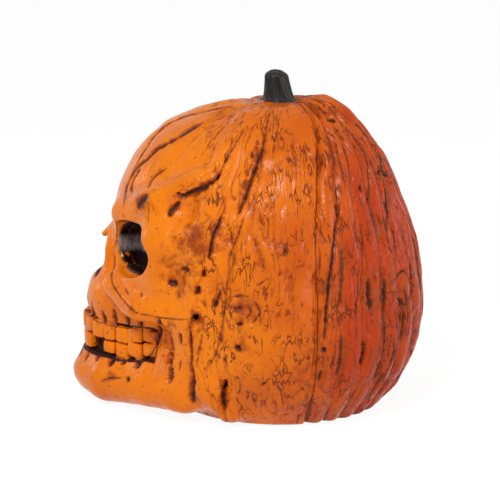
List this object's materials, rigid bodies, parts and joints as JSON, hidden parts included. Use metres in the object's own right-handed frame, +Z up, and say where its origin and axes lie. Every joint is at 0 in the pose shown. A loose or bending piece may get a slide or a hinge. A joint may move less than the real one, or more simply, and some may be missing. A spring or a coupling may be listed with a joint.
{
  "type": "halloween skull decoration",
  "caption": "Table-top pumpkin rind with a skull face, a short stem, dark lit eye cups and a hinged battery door in its flat base.",
  "frame": {"origin": "middle of the footprint box, on the surface that the decoration stands on", "axes": "+Z up along the stem, the skull's face looks along -Y, +X to the skull's own left"},
  "size_m": [0.1578, 0.2038, 0.1909],
  "materials": {
    "orange_paint": "semi-gloss orange paint with a dark wash in the carving",
    "stem_paint": "satin near-black brown",
    "dark_gloss": "glossy dark brown",
    "lamp_resin": "clear moulded resin",
    "lead_sheath": "soft satin sheath",
    "black_plastic": "fine moulded texture",
    "grey_plastic": "satin",
    "cell_wrap": "plain printed sleeve",
    "nickel": "nickel plated",
    "zinc_steel": "zinc plated",
    "board_green": "solder mask"
  },
  "bodies": {
    "head": {"face_shell": "orange_paint", "pumpkin_shell": "orange_paint", "stem": "stem_paint", "stem_washer": "zinc_steel", "stem_screw": "zinc_steel", "eye_cup_left": "dark_gloss", "led_left": "lamp_resin", "led_lead_left": "lead_sheath", "eye_cup_right": "dark_gloss", "led_right": "lamp_resin", "led_lead_right": "lead_sheath", "battery_case": "black_plastic", "battery_1": "cell_wrap", "contact_spring_1": "nickel", "battery_2": "cell_wrap", "contact_spring_2": "nickel", "negative_plate": "nickel", "positive_plate": "nickel", "bridge_plate": "nickel", "circuit_board": "board_green", "switch_housing": "grey_plastic", "switch_lead": "lead_sheath", "case_screw_1": "zinc_steel", "case_screw_2": "zinc_steel", "case_screw_3": "zinc_steel", "case_screw_4": "zinc_steel"},
    "door": {"battery_door": "black_plastic"},
    "slider": {"switch_slider": "grey_plastic"}
  },
  "joints": [
    {"name": "door_hinge", "type": "hinge", "parent": "head", "child": "door", "pos_m": [0, 0.03799, 0.0024], "axis": [1, 0, 0], "range_deg": [0, 90]},
    {"name": "switch_slide", "type": "slide", "parent": "head", "child": "slider", "axis": [1, 0, 0], "range_m": [0, 0.004]}
  ]
}
